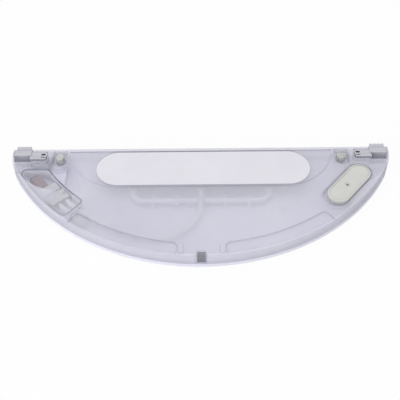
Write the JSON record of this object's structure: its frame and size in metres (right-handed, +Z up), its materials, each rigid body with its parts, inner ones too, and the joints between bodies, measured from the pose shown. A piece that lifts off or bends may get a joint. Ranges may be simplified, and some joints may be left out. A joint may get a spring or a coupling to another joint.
{
  "type": "robot vacuum water tank",
  "caption": "Half-moon water tank with a labelled platform, soft filler plug, press-in latches at the rear corners and a small pump inside.",
  "frame": {"origin": "bottom centre of the tank's bounding box, label side up", "axes": "+X to the right along the straight rear edge, +Y from the curved front rim to the straight rear edge, +Z up through the label"},
  "size_m": [0.3124, 0.117, 0.0146],
  "materials": {
    "shell": "frosted translucent",
    "base_shell": "satin",
    "label_film": "matte printed film, left bare",
    "plug_rubber": "satin",
    "bumper_rubber": "matte",
    "latch_plastic": "satin",
    "steel": "ground",
    "motor_wrap": "satin",
    "dark_plastic": "matte",
    "pump_plastic": "matte",
    "hose_silicone": "translucent",
    "seal_rubber": "matte",
    "magnet": "coated",
    "gold_plate": "plated",
    "hook_tape": "hook tape"
  },
  "bodies": {
    "tank": {"tank_base": "base_shell", "tank_cover": "shell", "instruction_label": "label_film", "left_bumper": "bumper_rubber", "right_bumper": "bumper_rubber", "latch_pin_left": "steel", "latch_pin_right": "steel", "latch_spring_left": "steel", "latch_spring_right": "steel", "pump_motor": "motor_wrap", "motor_cap": "dark_plastic", "pump_bracket": "pump_plastic", "pump_head": "pump_plastic", "pump_lid": "pump_plastic", "lid_screws": "steel", "pump_screws": "steel", "bay_seal": "seal_rubber", "bulkhead_grommets": "seal_rubber", "inlet_filter": "pump_plastic", "hose_suction": "hose_silicone", "hose_main": "hose_silicone", "cross_fitting": "pump_plastic", "hose_left": "hose_silicone", "hose_right": "hose_silicone", "hose_centre": "hose_silicone", "outlet_elbow_left": "pump_plastic", "outlet_elbow_centre": "pump_plastic", "outlet_elbow_right": "pump_plastic", "front_magnet": "magnet", "contact_block": "dark_plastic", "contact_pads": "gold_plate", "hook_strip_left": "hook_tape", "hook_strip_right": "hook_tape"},
    "latch_left": {"latch_lever_left": "latch_plastic"},
    "latch_right": {"latch_lever_right": "latch_plastic"},
    "plug": {"filler_plug": "plug_rubber"},
    "rotor": {"motor_shaft": "steel", "pump_impeller": "pump_plastic"}
  },
  "joints": [
    {"name": "latch_left_hinge", "type": "hinge", "parent": "tank", "child": "latch_left", "pos_m": [-0.1304, 0.0496, 0.009], "axis": [0, 0, 1], "range_deg": [0, 10], "stiffness_Nm_per_rad": 0.1, "springref_deg": -5.73, "deforming": ["latch_spring_left"]},
    {"name": "latch_right_hinge", "type": "hinge", "parent": "tank", "child": "latch_right", "pos_m": [0.1304, 0.0496, 0.009], "axis": [0, 0, -1], "range_deg": [0, 10], "stiffness_Nm_per_rad": 0.1, "springref_deg": -5.73, "deforming": ["latch_spring_right"]},
    {"name": "plug_lift", "type": "slide", "parent": "tank", "child": "plug", "axis": [0, 0, 1], "range_m": [0, 0.015]},
    {"name": "rotor_spin", "type": "hinge", "parent": "tank", "child": "rotor", "pos_m": [-0.12211, 0.01104, 0.007], "axis": [0.6428, -0.766, 0], "continuous": true}
  ]
}
